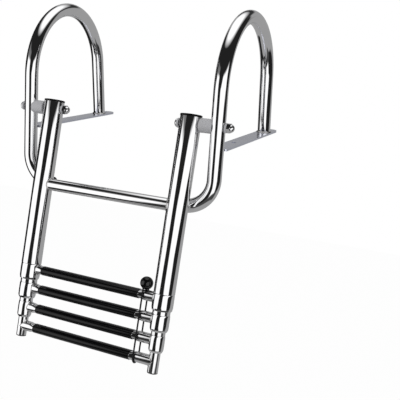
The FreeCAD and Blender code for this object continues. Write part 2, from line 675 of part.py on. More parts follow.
for side, inward in (("left", 1), ("right", -1)):
    handrail(side, inward)
    deck_plate(side)
    stop_plug(side, inward)
    pivot_parts(side)
    ladder_tube("stile_" + side, side, 1, "-stile_above_pivot", SEAM[1])
    stile_cap(side)
    for n in (1, 2, 3):
        collar(side, n)
    for n in (2, 3):
        ladder_tube("tube_%d_%s" % (n, side), side, n, tube_top(n), SEAM[n])
    ladder_tube("tube_4_" + side, side, 4, tube_top(4), FOOT)
    foot_cap(side)
cross_rung()
for n in (2, 3, 4):
    guides(n)
for n in (1, 2, 3, 4):
    tread(n)
    grip(n)
strap_cord()
strap_ball()
document.recompute()

for item in document.Objects:
    if "Invalid" in item.State or "Error" in item.State:
        raise RuntimeError("%s is %s" % (item.Label, item.State))
for name, piece in finished.items():
    if piece.Shape.isNull() or not piece.Shape.isValid():
        raise RuntimeError("%s has no valid shape" % name)
    if len(piece.Shape.Solids) != (2 if name.startswith(("guides", "pivot_washers")) else 1):
        raise RuntimeError("%s has %d solids" % (name, len(piece.Shape.Solids)))
for name, piece in finished.items():
    piece.Shape.exportStep("parts/%s.step" % name)
print("%d pieces, tilt %.2f degrees" % (len(finished), value(TILT)))
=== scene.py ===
import json
import math
import bpy
import bmesh
import numpy as np
from mathutils import Matrix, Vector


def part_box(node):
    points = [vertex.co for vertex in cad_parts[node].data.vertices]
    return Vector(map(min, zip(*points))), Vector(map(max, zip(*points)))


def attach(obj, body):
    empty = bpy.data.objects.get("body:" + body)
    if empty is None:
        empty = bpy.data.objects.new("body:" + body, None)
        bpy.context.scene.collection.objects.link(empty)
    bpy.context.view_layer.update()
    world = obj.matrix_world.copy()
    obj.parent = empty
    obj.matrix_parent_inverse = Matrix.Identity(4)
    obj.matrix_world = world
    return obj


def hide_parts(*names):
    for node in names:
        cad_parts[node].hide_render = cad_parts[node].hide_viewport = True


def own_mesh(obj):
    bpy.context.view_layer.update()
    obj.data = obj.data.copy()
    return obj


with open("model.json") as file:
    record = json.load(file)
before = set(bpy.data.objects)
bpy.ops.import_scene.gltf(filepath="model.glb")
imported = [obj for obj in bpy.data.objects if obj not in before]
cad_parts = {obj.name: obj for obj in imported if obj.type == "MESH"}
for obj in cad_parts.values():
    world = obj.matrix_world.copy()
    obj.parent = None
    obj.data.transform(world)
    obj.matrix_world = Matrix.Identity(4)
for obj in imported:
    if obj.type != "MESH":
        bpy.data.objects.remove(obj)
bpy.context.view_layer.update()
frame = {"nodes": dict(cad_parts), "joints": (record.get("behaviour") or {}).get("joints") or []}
print("frame loaded:", len(frame["nodes"]), "nodes")

# All sizes are in metres and all angles in degrees, in the frame's own axes. The camera's focal length and
# centre are in pixels of its square frame.
view = {
    "place": (0.8086, -1.3181, 0.2060), "yaw": 27.35, "pitch": -13.84, "roll": 2.65,
    "focal": 712.4, "frameSize": 400, "centre": (130.0, 198.2), "sensor": 36.0, "clip": (0.05, 50.0),
}
joints = {joint["name"]: joint for joint in frame["joints"]}
pivot = np.array(joints["fold"]["pos_m"], float)
pivotAxis = pivot * [0, 1, 1]  # where the fold's axis crosses x nought
down = np.array(joints["slide_2"]["axis"], float)
down /= np.linalg.norm(down)
boatward = np.array([0.0, -down[2], down[1]])  # square to the ladder's plane
across = np.array([1.0, 0.0, 0.0])
sides = ("left", "right")
inwardOf = {"left": 1, "right": -1}


def middle(node):
    # middle of a node's box at rest
    low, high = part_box(node)
    return (np.array(low) + np.array(high)) / 2


def dropOf(node):
    # distance of a node's middle below the pivot axis, along the ladder
    return float((middle(node) - pivot) @ down)


railX = {side: float(middle("deck_plate_" + side)[0]) for side in sides}
stileX = {side: float(middle("stile_" + side)[0]) for side in sides}
legY = float(pivot[1])
treadDrop = {n: dropOf("tread_%d" % n) for n in (1, 2, 3, 4)}


def onLadder(x, drop, out=0.0):
    # a point of the ladder's plane: x across, drop down the stiles, out towards the boat
    x, drop, out = np.broadcast_arrays(np.asarray(x, float), np.asarray(drop, float), np.asarray(out, float))
    return x[..., None] * across + pivotAxis + drop[..., None] * down + out[..., None] * boatward


# Grids, profiles and meshes

def roundedCorners(corners, rounding, steps=6, closed=False):
    # each corner becomes a parabola between two points a rounding away from it along its sides, or just under
    # half of the shorter side where that is less
    corners = np.asarray(corners, float)
    before, after = np.roll(corners, 1, axis=0), np.roll(corners, -1, axis=0)
    rounding = np.broadcast_to(np.asarray(rounding, float), len(corners)).copy()
    if not closed:
        rounding[[0, -1]] = 0.0
    toBefore, toAfter = before - corners, after - corners
    lengthBefore = np.linalg.norm(toBefore, axis=1, keepdims=True)
    lengthAfter = np.linalg.norm(toAfter, axis=1, keepdims=True)
    reach = np.minimum(rounding[:, None], 0.48 * np.minimum(lengthBefore, lengthAfter))
    first = corners + toBefore / lengthBefore * reach
    last = corners + toAfter / lengthAfter * reach
    t = np.linspace(0, 1, steps)[None, :, None]
    curve = (1 - t) ** 2 * first[:, None] + 2 * t * (1 - t) * corners[:, None] + t ** 2 * last[:, None]
    points = curve.reshape(-1, 2)
    keep = np.ones(len(points), bool)
    keep[1:] = np.linalg.norm(np.diff(points, axis=0), axis=1) > 1e-7
    return points[keep]


def meshFromGrid(name, grid, alongClosed=False, sharpAngle=34.0):
    # rows run along the piece and columns round it; each cell is a four-sided face
    rows, columns = grid.shape[:2]
    rowCount = rows if alongClosed else rows - 1
    i, j = np.meshgrid(np.arange(rowCount), np.arange(columns), indexing="ij")
    i2, j2 = (i + 1) % rows, (j + 1) % columns
    corners = [i * columns + j, i * columns + j2, i2 * columns + j2, i2 * columns + j]
    faces = np.stack(corners, -1).reshape(-1, 4)
    mesh = bpy.data.meshes.new(name)
    mesh.from_pydata(grid.reshape(-1, 3).tolist(), [], faces.tolist())
    # the piece's own map: u once round it, v its length along the first column
    stepLength = np.linalg.norm(np.diff(grid[:, 0], axis=0, append=grid[:1, 0]), axis=1)
    along = np.concatenate([[0.0], np.cumsum(stepLength)])[:rowCount + 1]
    cornerU = np.stack([j, j + 1, j + 1, j], -1) / columns
    cornerV = np.stack([along[i], along[i], along[i + 1], along[i + 1]], -1)
    uvs = mesh.uv_layers.new(name="UVMap")
    uvs.data.foreach_set("uv", np.stack([cornerU, cornerV], -1).astype(np.float32).ravel())
    body = bmesh.new()
    body.from_mesh(mesh)
    bmesh.ops.remove_doubles(body, verts=body.verts, dist=2e-7)
    bmesh.ops.recalc_face_normals(body, faces=body.faces)
    body.to_mesh(mesh)
    body.free()
    mesh.shade_smooth()
    mesh.set_sharp_from_angle(angle=math.radians(sharpAngle))
    piece = bpy.data.objects.new(name, mesh)
    bpy.context.scene.collection.objects.link(piece)
    return piece


def joined(name, parts):
    # several finished meshes as one piece
    total = bmesh.new()
    for part in parts:
        total.from_mesh(part.data)
    mesh = bpy.data.meshes.new(name)
    total.to_mesh(mesh)
    total.free()
    for part in parts:
        old = part.data
        bpy.data.objects.remove(part)
        bpy.data.meshes.remove(old)
    piece = bpy.data.objects.new(name, mesh)
    bpy.context.scene.collection.objects.link(piece)
    return piece


def turnedGrid(profile, foot, axis, columns=96):
    # a profile of (radius, height) carried round an axis
    axis = np.asarray(axis, float) / np.linalg.norm(axis)
    first = np.cross(axis, across if abs(axis[0]) < 0.9 else [0.0, 0.0, 1.0])
    first /= np.linalg.norm(first)
    second = np.cross(axis, first)
    angle = np.linspace(0, 2 * np.pi, columns, endpoint=False)
    ring = np.cos(angle)[:, None] * first + np.sin(angle)[:, None] * second
    radius, height = profile[:, 0], profile[:, 1]
    return np.asarray(foot, float) + height[:, None, None] * axis + radius[:, None, None] * ring[None]


def finish(piece, material, body, slotName, *nodes):
    piece.data.materials.clear()
    piece.data.materials.append(material)
    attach(piece, body)
    if nodes:
        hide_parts(*nodes)


# Shader groups and materials

def newGroup(name, inputs, outputs):
    group = bpy.data.node_groups.new(name, "ShaderNodeTree")
    for label, start in inputs:
        kind = "NodeSocketVector" if start is None else "NodeSocketFloat"
        socket = group.interface.new_socket(name=label, in_out="INPUT", socket_type=kind)
        if start is not None:
            socket.default_value = start
    for label in outputs:
        group.interface.new_socket(name=label, in_out="OUTPUT", socket_type="NodeSocketFloat")
    return group, group.nodes.new("NodeGroupInput"), group.nodes.new("NodeGroupOutput")


def mathNode(tree, operation, *values):
    node = tree.nodes.new("ShaderNodeMath")
    node.operation = operation
    for socket, value in zip(node.inputs, values):
        if isinstance(value, (int, float)):
            socket.default_value = value
        else:
            tree.links.new(value, socket)
    return node.outputs[0]


def noiseNode(tree, vector, scale, detail, roughness=0.55):
    node = tree.nodes.new("ShaderNodeTexNoise")
    node.inputs["Detail"].default_value = detail
    node.inputs["Roughness"].default_value = roughness
    tree.links.new(scale, node.inputs["Scale"])
    tree.links.new(vector, node.inputs["Vector"])
    return node.outputs["Fac"]


def mapRange(tree, value, fromLow, fromHigh, toLow, toHigh):
    node = tree.nodes.new("ShaderNodeMapRange")
    for socket, number in zip(list(node.inputs)[1:5], (fromLow, fromHigh, toLow, toHigh)):
        if isinstance(number, (int, float)):
            socket.default_value = number
        else:
            tree.links.new(number, socket)
    tree.links.new(value, node.inputs[0])
    return node.outputs[0]


polishMarks = {"cloudFrom": 0.35, "cloudTo": 0.7, "lineStretch": (1.0, 1.0, 0.015), "lineRoughness": 0.02}
speckleShare = {"grain": 0.4, "patch": 0.6}
braidFloor = -0.6  # the gaps between strands are level below this height of the sines
colourSpan = (0.3, 0.7)  # the span of a mask over which a finish turns from dark to light


def makePolishMarks():
    # cloudy hand marks, and fine lines left by the polishing belt, as roughness and height
    group, given, made = newGroup(
        "polishMarks",
        [("Vector", None), ("Cloud Scale", 18.0), ("Line Scale", 900.0), ("Low", 0.03), ("High", 0.09)],
        ["Roughness", "Height"],
    )
    s = polishMarks
    cloud = noiseNode(group, given.outputs["Vector"], given.outputs["Cloud Scale"], detail=5.0, roughness=0.6)
    stretch = group.nodes.new("ShaderNodeVectorMath")
    stretch.operation = "MULTIPLY"
    stretch.inputs[1].default_value = s["lineStretch"]
    group.links.new(given.outputs["Vector"], stretch.inputs[0])
    lines = noiseNode(group, stretch.outputs[0], given.outputs["Line Scale"], detail=2.0, roughness=0.5)
    rough = mapRange(group, cloud, s["cloudFrom"], s["cloudTo"], given.outputs["Low"], given.outputs["High"])
    roughLines = mathNode(group, "MULTIPLY_ADD", lines, s["lineRoughness"], rough)
    group.links.new(roughLines, made.inputs["Roughness"])
    group.links.new(lines, made.inputs["Height"])
    return group


def makeSpeckle():
    # fine grain over slow patches, as a mask between nought and one and a height
    group, given, made = newGroup(
        "speckle", [("Vector", None), ("Grain", 2500.0), ("Patch", 40.0)], ["Mask", "Height"],
    )
    grain = noiseNode(group, given.outputs["Vector"], given.outputs["Grain"], detail=2.0)
    patch = noiseNode(group, given.outputs["Vector"], given.outputs["Patch"], detail=4.0)
    slow = mathNode(group, "MULTIPLY", patch, speckleShare["patch"])
    mask = mathNode(group, "MULTIPLY_ADD", grain, speckleShare["grain"], slow)
    group.links.new(mask, made.inputs["Mask"])
    group.links.new(grain, made.inputs["Height"])
    return group


def makeBraid():
    # two sets of strands wound opposite ways round a cord: the higher of two crossed sines of its own map
    group, given, made = newGroup(
        "braid", [("Vector", None), ("Strands", 8.0), ("Pitch", 700.0)], ["Mask", "Height"],
    )
    parts = group.nodes.new("ShaderNodeSeparateXYZ")
    group.links.new(given.outputs["Vector"], parts.inputs[0])
    turns = mathNode(group, "MULTIPLY", given.outputs["Strands"], 2 * math.pi)
    around = mathNode(group, "MULTIPLY", parts.outputs["X"], turns)
    along = mathNode(group, "MULTIPLY", parts.outputs["Y"], given.outputs["Pitch"])
    leftHand = mathNode(group, "SINE", mathNode(group, "ADD", around, along))
    rightHand = mathNode(group, "SINE", mathNode(group, "SUBTRACT", around, along))
    weave = mapRange(group, mathNode(group, "MAXIMUM", leftHand, rightHand), braidFloor, 1.0, 0.0, 1.0)
    group.links.new(weave, made.inputs["Mask"])
    group.links.new(weave, made.inputs["Height"])
    return group


groups = {"polish": makePolishMarks(), "speckle": makeSpeckle(), "braid": makeBraid()}


def newMaterial(name):
    material = bpy.data.materials.new(name)
    material.use_nodes = True
    tree = material.node_tree
    shader = tree.nodes["Principled BSDF"]
    coordinates = tree.nodes.new("ShaderNodeTexCoord")
    return material, tree, shader, coordinates


def placeGroup(tree, group, vector, **values):
    node = tree.nodes.new("ShaderNodeGroup")
    node.node_tree = group
    tree.links.new(vector, node.inputs["Vector"])
    for label, value in values.items():
        node.inputs[label.replace("_", " ")].default_value = value
    return node


def addBump(tree, shader, height, strength, distance):
    bump = tree.nodes.new("ShaderNodeBump")
    bump.inputs["Strength"].default_value = strength
    bump.inputs["Distance"].default_value = distance
    tree.links.new(height, bump.inputs["Height"])
    tree.links.new(bump.outputs["Normal"], shader.inputs["Normal"])


def addColours(tree, shader, mask, dark, light):
    ramp = tree.nodes.new("ShaderNodeValToRGB")
    for element, position, colour in zip(ramp.color_ramp.elements, colourSpan, (dark, light)):
        element.position = position
        element.color = (*colour, 1.0)
    tree.links.new(mask, ramp.inputs["Fac"])
    tree.links.new(ramp.outputs["Color"], shader.inputs["Base Color"])


def steelMaterial(name, dark, light, low, high, lineScale, bumpDistance):
    material, tree, shader, coordinates = newMaterial(name)
    shader.inputs["Metallic"].default_value = 1.0
    vector = coordinates.outputs["Object"]
    marks = placeGroup(tree, groups["polish"], vector, Line_Scale=lineScale, Low=low, High=high)
    speckle = placeGroup(tree, groups["speckle"], vector, Grain=600.0, Patch=25.0)
    addColours(tree, shader, speckle.outputs["Mask"], dark, light)
    tree.links.new(marks.outputs["Roughness"], shader.inputs["Roughness"])
    addBump(tree, shader, marks.outputs["Height"], strength=0.25, distance=bumpDistance)
    return material


def softMaterial(name, dark, light, low, high, grain, bumpDistance, specular):
    material, tree, shader, coordinates = newMaterial(name)
    shader.inputs["Specular IOR Level"].default_value = specular
    speckle = placeGroup(tree, groups["speckle"], coordinates.outputs["Object"], Grain=grain, Patch=45.0)
    addColours(tree, shader, speckle.outputs["Mask"], dark, light)
    rough = mapRange(tree, speckle.outputs["Mask"], *colourSpan, low, high)
    tree.links.new(rough, shader.inputs["Roughness"])
    addBump(tree, shader, speckle.outputs["Height"], strength=0.35, distance=bumpDistance)
    return material


def cordMaterial(name, dark, light, strands, pitch, roughness, specular):
    material, tree, shader, coordinates = newMaterial(name)
    braid = placeGroup(tree, groups["braid"], coordinates.outputs["UV"], Strands=strands, Pitch=pitch)
    addColours(tree, shader, braid.outputs["Mask"], dark, light)
    shader.inputs["Roughness"].default_value = roughness
    shader.inputs["Specular IOR Level"].default_value = specular
    addBump(tree, shader, braid.outputs["Height"], strength=0.6, distance=0.0003)
    return material


# low and high are the ends of each finish's roughness
mirrorSteel = steelMaterial(
    "mirrorSteel", dark=(0.86, 0.86, 0.87), light=(0.90, 0.90, 0.905),
    low=0.015, high=0.05, lineScale=900.0, bumpDistance=0.000002,
)
plateSteel = steelMaterial(
    "plateSteel", dark=(0.74, 0.76, 0.86), light=(0.82, 0.84, 0.95),
    low=0.14, high=0.24, lineScale=1500.0, bumpDistance=0.00002,
)
weldSteel = steelMaterial(
    "weldSteel", dark=(0.62, 0.61, 0.60), light=(0.84, 0.83, 0.82),
    low=0.10, high=0.22, lineScale=700.0, bumpDistance=0.00004,
)
boltSteel = steelMaterial(
    "boltSteel", dark=(0.76, 0.76, 0.77), light=(0.86, 0.86, 0.87),
    low=0.03, high=0.07, lineScale=900.0, bumpDistance=0.000004,
)
gripRubber = softMaterial(
    "gripRubber", dark=(0.0012, 0.0012, 0.0014), light=(0.003, 0.003, 0.0035),
    low=0.11, high=0.17, grain=3200.0, bumpDistance=0.000006, specular=0.32,
)
ballRubber = softMaterial(
    "ballRubber", dark=(0.0015, 0.0015, 0.0015), light=(0.004, 0.004, 0.004),
    low=0.08, high=0.14, grain=2600.0, bumpDistance=0.000006, specular=0.5,
)
capPlastic = softMaterial(
    "capPlastic", dark=(0.0015, 0.0015, 0.0015), light=(0.004, 0.004, 0.004),
    low=0.40, high=0.55, grain=3000.0, bumpDistance=0.00003, specular=0.15,
)
spacerNylon = softMaterial(
    "spacerNylon", dark=(0.36, 0.36, 0.375), light=(0.44, 0.44, 0.455),
    low=0.40, high=0.55, grain=1800.0, bumpDistance=0.00004, specular=0.4,
)
strapBraid = cordMaterial(
    "strapBraid", dark=(0.0015, 0.0015, 0.002), light=(0.007, 0.007, 0.008),
    strands=7.0, pitch=2400.0, roughness=0.6, specular=0.25,
)
print("materials made")

# Handrails: stop bend, front leg, arch and leaning back leg as one bent tube

railTube = {
    "radius": 0.0127, "columns": 96, "bendStart": -0.050, "bendRadius": 0.054, "archStart": 0.101,
    "archRadius": 0.124, "backLean": 7.5, "plateTop": 0.00405,
    "bendRows": 40, "archRows": 120, "straightRows": 12,
}


def railPath(x, inward):
    # rows of centre points, each with two directions square to the tube
    s = railTube
    lean = math.radians(s["backLean"])
    bend = np.linspace(0, math.pi / 2, s["bendRows"])  # from the plugged end up to the leg
    bendX = x + inward * s["bendRadius"] * (1 - np.sin(bend))
    bendZ = s["bendStart"] - s["bendRadius"] * np.cos(bend)
    bendCentre = np.stack([bendX, np.full_like(bend, legY), bendZ], 1)
    bendOut = np.stack([inward * np.sin(bend), 0 * bend, np.cos(bend)], 1)
    bendSide = np.tile([0.0, 1.0, 0.0], (len(bend), 1))
    height = np.linspace(s["bendStart"], s["archStart"], s["straightRows"])[1:]
    leg = np.stack([np.full_like(height, x), np.full_like(height, legY), height], 1)
    legOut = np.tile([float(inward), 0.0, 0.0], (len(height), 1))
    legSide = np.tile([0.0, 1.0, 0.0], (len(height), 1))
    arch = np.linspace(math.pi, lean, s["archRows"])[1:]
    archY = legY + s["archRadius"] * (1 + np.cos(arch))
    archZ = s["archStart"] + s["archRadius"] * np.sin(arch)
    archCentre = np.stack([np.full_like(arch, x), archY, archZ], 1)
    archOut = np.tile([float(inward), 0.0, 0.0], (len(arch), 1))
    archSide = np.stack([0 * arch, -np.cos(arch), -np.sin(arch)], 1)
    fall = np.linspace(0, 1, s["straightRows"])[1:] * (archZ[-1] - s["plateTop"])
    back = np.stack([np.full_like(fall, x), archY[-1] + fall * math.tan(lean), archZ[-1] - fall], 1)
    backOut = np.tile([float(inward), 0.0, 0.0], (len(fall), 1))
    backSide = np.tile(archSide[-1], (len(fall), 1))
    centres = np.concatenate([bendCentre, leg, archCentre, back])
    outs = np.concatenate([bendOut, legOut, archOut, backOut])
    sidesOf = np.concatenate([bendSide, legSide, archSide, backSide])
    return centres, outs, sidesOf


def railGrid(x, inward):
    # centre plus radius times the cosine and sine of the angle along the two directions
    s = railTube
    centres, outs, sidesOf = railPath(x, inward)
    angle = np.linspace(0, 2 * np.pi, s["columns"], endpoint=False)
    ring = np.cos(angle)[None, :, None] * outs[:, None] + np.sin(angle)[None, :, None] * sidesOf[:, None]
    grid = centres[:, None] + s["radius"] * ring
    lean = math.radians(s["backLean"])
    fallLine = np.array([0.0, math.sin(lean), -math.cos(lean)])
    overPlate = (grid[-1][:, 2] - s["plateTop"]) / math.cos(lean)
    grid[-1] += overPlate[:, None] * fallLine  # cut level on the plate
    caps = [np.repeat(centres[:1], s["columns"], 0)[None], np.repeat(centres[-1:], s["columns"], 0)[None]]
    caps[1][..., 2] = s["plateTop"]
    return np.concatenate([caps[0], grid, caps[1]])


for side, inward in inwardOf.items():
    piece = meshFromGrid("railTube_" + side, railGrid(railX[side], inward), sharpAngle=50.0)
    finish(piece, mirrorSteel, "handrails", "polished_steel", "handrail_" + side)
print("handrails made")

# Plug in the open end of each stop bend

stopPlug = {
    "flange": 0.0015, "radius": 0.0127, "rounding": 0.0008, "depth": 0.003, "inner": 0.0110,
    "gap": 0.00005, "draft": 0.0003,
}
for side, inward in inwardOf.items():
    s = stopPlug
    corners = [(0, -s["depth"]), (s["inner"], -s["depth"]), (s["inner"], s["gap"]), (s["radius"], s["gap"]),
               (s["radius"] - s["draft"], s["flange"]), (0, s["flange"])]
    bendEnd = railX[side] + inward * railTube["bendRadius"]
    foot = (bendEnd, legY, railTube["bendStart"] - railTube["bendRadius"])
    grid = turnedGrid(roundedCorners(corners, s["rounding"]), foot, (inward, 0, 0), columns=64)
    piece = meshFromGrid("stopPlug_" + side, grid)
    finish(piece, capPlastic, "handrails", "black_plastic", "stop_plug_" + side)

# Straight tubes of the ladder: a closed ring profile, outer wall down and inner wall back up

tubeSet = {
    "stile": {"radius": 0.01905, "section": 1}, "tube_2": {"radius": 0.015875, "section": 2},
    "tube_3": {"radius": 0.0127, "section": 3}, "tube_4": {"radius": 0.009525, "section": 4},
}
tubeWall, tubeRounding = 0.0012, 0.0004
bodyOf = {1: "upper_section", 2: "second_section", 3: "third_section", 4: "fourth_section"}


def tubeSpan(node, radius):
    # first and last drop of a straight tube, from its box, whose height is
    # the tube's length times the cosine of its tilt plus its width times the sine
    low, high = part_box(node)
    length = (high[2] - low[2] - 2 * radius * abs(down[1])) / abs(down[2])
    centre = dropOf(node)
    return centre - length / 2, centre + length / 2


for kind, s in tubeSet.items():
    for side in sides:
        node = "%s_%s" % (kind, side)
        top, end = tubeSpan(node, s["radius"])
        inner = s["radius"] - tubeWall
        corners = [(s["radius"], top), (s["radius"], end), (inner, end), (inner, top)]
        profile = roundedCorners(corners, tubeRounding, 4, closed=True)
        grid = turnedGrid(profile, onLadder(stileX[side], 0.0), down, columns=128)
        piece = meshFromGrid("%sTube_%s" % (kind.replace("_", ""), side), grid, alongClosed=True)
        finish(piece, mirrorSteel, bodyOf[s["section"]], "polished_steel", node)
print("ladder tubes made")

# Collars: a turned sleeve with a softly barrelled flank and a drawn-in nose

collarSet = {
    1: {"radius": 0.01905, "tube": 0.01905, "bore": 0.016175, "shoulder": 0.0006, "topInset": 0.0007},
    2: {"radius": 0.01665, "tube": 0.015875, "bore": 0.0130, "shoulder": 0.0015, "topInset": 0.0},
    3: {"radius": 0.0135, "tube": 0.0127, "bore": 0.009825, "shoulder": 0.0015, "topInset": 0.0},
}
collarShape = {
    "seamAbove": 0.010, "height": 0.026, "taper": 0.004, "noseWall": 0.0015, "barrel": 0.00035, "rows": 15,
    "spigot": 0.010, "gap": 0.0001, "edgeRound": 0.0004, "seatRound": 0.0002, "noseRound": 0.0015,
    "tipRound": 0.0009,
}


def collarProfile(s):
    # spigot and seat, then the flank, drawn in at both ends by a fourth power of the height, then the nose
    c = collarShape
    barrel = np.linspace(0, 1, c["rows"])
    flankHeight = -s["shoulder"] - barrel * (c["height"] - s["shoulder"])
    flankRadius = s["radius"] - c["barrel"] * (2 * barrel - 1) ** 4
    spigotRadius = s["tube"] - tubeWall - c["gap"]
    low = -c["height"] - c["taper"]
    edge = c["edgeRound"]
    corners = [(s["bore"], c["spigot"]), (spigotRadius, c["spigot"]), (spigotRadius, -c["gap"]),
               (s["tube"] - s["topInset"], -c["gap"])]
    corners += list(zip(flankRadius, flankHeight))
    corners += [(s["bore"] + c["noseWall"], low), (s["bore"], low)]
    rounding = [edge, edge, 0.0, c["seatRound"]]
    rounding += [0.0] * (len(barrel) - 1) + [c["noseRound"], c["tipRound"], edge]
    return roundedCorners(corners, rounding, 6, closed=True)


for n, s in collarSet.items():
    profile = collarProfile(s)
    for side in sides:
        foot = onLadder(stileX[side], treadDrop[n] - collarShape["seamAbove"])
        grid = turnedGrid(profile, foot, -down, columns=128)
        piece = meshFromGrid("collar%d_%s" % (n, side), grid, alongClosed=True, sharpAngle=40.0)
        finish(piece, mirrorSteel, bodyOf[n], "polished_steel", "collar_%d_%s" % (n, side))
print("collars made")

# Top caps and foot caps

capShape = {
    "radius": 0.01935, "inner": 0.0178, "height": 0.0034, "depth": 0.005, "gap": 0.00005, "crown": 0.0003,
    "crownShare": 0.6, "rounding": [0, 0.0003, 0.0002, 0.0003, 0.0007, 0.004, 0],  # one for each corner
}
footShape = {
    "radius": 0.009525, "inner": 0.00827, "height": 0.002, "depth": 0.012, "gap": 0.00005,
    "rimShare": 0.6, "faceShare": 0.85, "rounding": 0.0004,
}


def capProfile(s, last):
    # the plug inside the tube and the rim on its end, then the corners of the cap's face
    inside = [(0, -s["depth"]), (s["inner"], -s["depth"]), (s["inner"], s["gap"]), (s["radius"], s["gap"])]
    return roundedCorners(inside + last, s["rounding"])


for side in sides:
    s = capShape
    top = tubeSpan("stile_" + side, tubeSet["stile"]["radius"])[0]
    crown = s["height"] + s["crown"]
    profile = capProfile(s, [(s["radius"], s["height"]), (s["crownShare"] * s["radius"], crown), (0, crown)])
    piece = meshFromGrid("stileCap_" + side, turnedGrid(profile, onLadder(stileX[side], top), -down))
    finish(piece, capPlastic, "upper_section", "black_plastic", "stile_cap_" + side)
    s = footShape
    end = tubeSpan("tube_4_" + side, tubeSet["tube_4"]["radius"])[1]
    rim = (s["radius"], s["height"] * s["rimShare"])
    profile = capProfile(s, [rim, (s["radius"] * s["faceShare"], s["height"]), (0, s["height"])])
    grid = turnedGrid(profile, onLadder(stileX[side], end), down, columns=64)
    piece = meshFromGrid("footCap_" + side, grid)
    finish(piece, capPlastic, "fourth_section", "black_plastic", "foot_cap_" + side)
print("caps made")

# Rungs: x runs between the two coped ends, and the section goes from round to a flat oval under the grip

crossRung = {"radius": 0.0111, "rows": 24, "sink": 0.0004}
treadShape = {
    "roundRadius": 0.009525, "halfDepth": 0.0109, "halfHeight": 0.0076, "gripFromLeft": 0.030,
    "gripFromRight": 0.046, "flatRun": 0.013, "rows": 160, "sink": 0.0004,
}
copedCap = {"share": 0.8, "rings": 5}
carrierRadius = {n: s["radius"] for n, s in collarSet.items()}
carrierRadius[4] = tubeSet["tube_4"]["radius"]


def smoothStep(t):
    # three t squared less two t cubed
    t = np.clip(t, 0, 1)
    return t * t * (3 - 2 * t)


def treadSection(x):
    # half depth and half height of the tread at x: its share of the oval rises and falls over the flat run
    s = treadShape
    run = s["flatRun"]
    leftFlat, rightFlat = stileX["left"] + s["gripFromLeft"], stileX["right"] - s["gripFromRight"]
    share = smoothStep((x - leftFlat + run) / run) * smoothStep((rightFlat + run - x) / run)
    return (s["roundRadius"] + (s["halfDepth"] - s["roundRadius"]) * share,
            s["roundRadius"] + (s["halfHeight"] - s["roundRadius"]) * share)


def roundSection(x):
    # the bare rung is round all along
    return crossRung["radius"] + 0 * x, crossRung["radius"] + 0 * x


def copedGrid(drop, carrier, sink, rows, sectionAt, columns=96):
    # the end at each angle lies on the round carrier, its x the root of carrier squared less depth squared,
    # and rings of a smaller and smaller share of the end close it along the carrier's wall
    angle = np.linspace(0, 2 * np.pi, columns, endpoint=False)
    endHalfDepth, endHalfHeight = sectionAt(np.array(stileX["left"] + carrier))
    endDepth, endHeight = endHalfDepth * np.cos(angle), endHalfHeight * np.sin(angle)
    inset = np.sqrt(np.maximum((carrier - sink) ** 2 - endDepth ** 2, 0.0))
    t = np.linspace(0, 1, rows)[:, None]
    x = (1 - t) * (stileX["left"] + inset) + t * (stileX["right"] - inset)
    depth, height = sectionAt(x)
    grid = onLadder(x, drop - height * np.sin(angle), depth * np.cos(angle))
    share = np.linspace(0, copedCap["share"], copedCap["rings"])[:, None]
    capInset = np.sqrt(np.maximum((carrier - sink) ** 2 - (share * endDepth) ** 2, 0.0))
    caps = [onLadder(stileX[side] + inward * capInset, drop - share * endHeight, share * endDepth)
            for side, inward in inwardOf.items()]
    return np.concatenate([caps[0], grid, caps[1][::-1]])


stileRadius = tubeSet["stile"]["radius"]
grid = copedGrid(dropOf("cross_rung"), stileRadius, crossRung["sink"], crossRung["rows"], roundSection)
piece = meshFromGrid("crossRungTube", grid, sharpAngle=50.0)
finish(piece, mirrorSteel, "upper_section", "polished_steel", "cross_rung")
for n in (1, 2, 3, 4):
    grid = copedGrid(treadDrop[n], carrierRadius[n], treadShape["sink"], treadShape["rows"], treadSection)
    piece = meshFromGrid("treadTube%d" % n, grid, sharpAngle=50.0)
    finish(piece, mirrorSteel, bodyOf[n], "polished_steel", "tread_%d" % n)
print("rungs made")

# Rubber grips: a closed sleeve round the flat part of each tread, with rolled ends and shallow ribs

gripShape = {
    "wall": 0.0011, "rounding": 0.0009, "ribs": 44, "ribHeight": 0.00003, "columns": 264, "gap": 0.00005,
}
for n in (1, 2, 3, 4):
    s = gripShape
    xLow, xHigh = (corner[0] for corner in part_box("grip_%d" % n))
    corners = [(s["gap"], xLow), (s["wall"], xLow), (s["wall"], xHigh), (s["gap"], xHigh)]
    profile = roundedCorners(corners, [0.0, s["rounding"], s["rounding"], 0.0], 8, closed=True)
    angle = np.linspace(0, 2 * np.pi, s["columns"], endpoint=False)
    # each rib is a cosine of the angle that is deepest between two ribs
    rib = s["ribHeight"] * (np.cos(s["ribs"] * angle) - 1) * (profile[:, :1] / s["wall"])
    offset = profile[:, :1] + rib
    depth = (treadShape["halfDepth"] + offset) * np.cos(angle)
    height = (treadShape["halfHeight"] + offset) * np.sin(angle)
    grid = onLadder(profile[:, 1:], treadDrop[n] - height, depth)
    piece = meshFromGrid("gripSleeve%d" % n, grid, alongClosed=True, sharpAngle=60.0)
    finish(piece, gripRubber, bodyOf[n], "black_rubber", "grip_%d" % n)
print("grips made")

# Weld beads: a small rounded bead with even ripples along each joint line

weldShape = {
    "rungBead": 0.0013, "treadBead": 0.0008, "plateBead": 0.0021, "legBead": 0.0012, "legReach": 62.0,
    "legRipples": 22, "ripple": 0.12, "pitch": 0.0012, "points": 240, "legPoints": 90, "columns": 16,
}


def beadRings(line, out, up, radius):
    # a circle of the bead's radius round each point of its line, from two directions square to the line
    angle = np.linspace(0, 2 * np.pi, weldShape["columns"], endpoint=False)
    ring = np.cos(angle)[None, :, None] * out[:, None] + np.sin(angle)[None, :, None] * up[:, None]
    return line[:, None] + radius[:, None, None] * ring


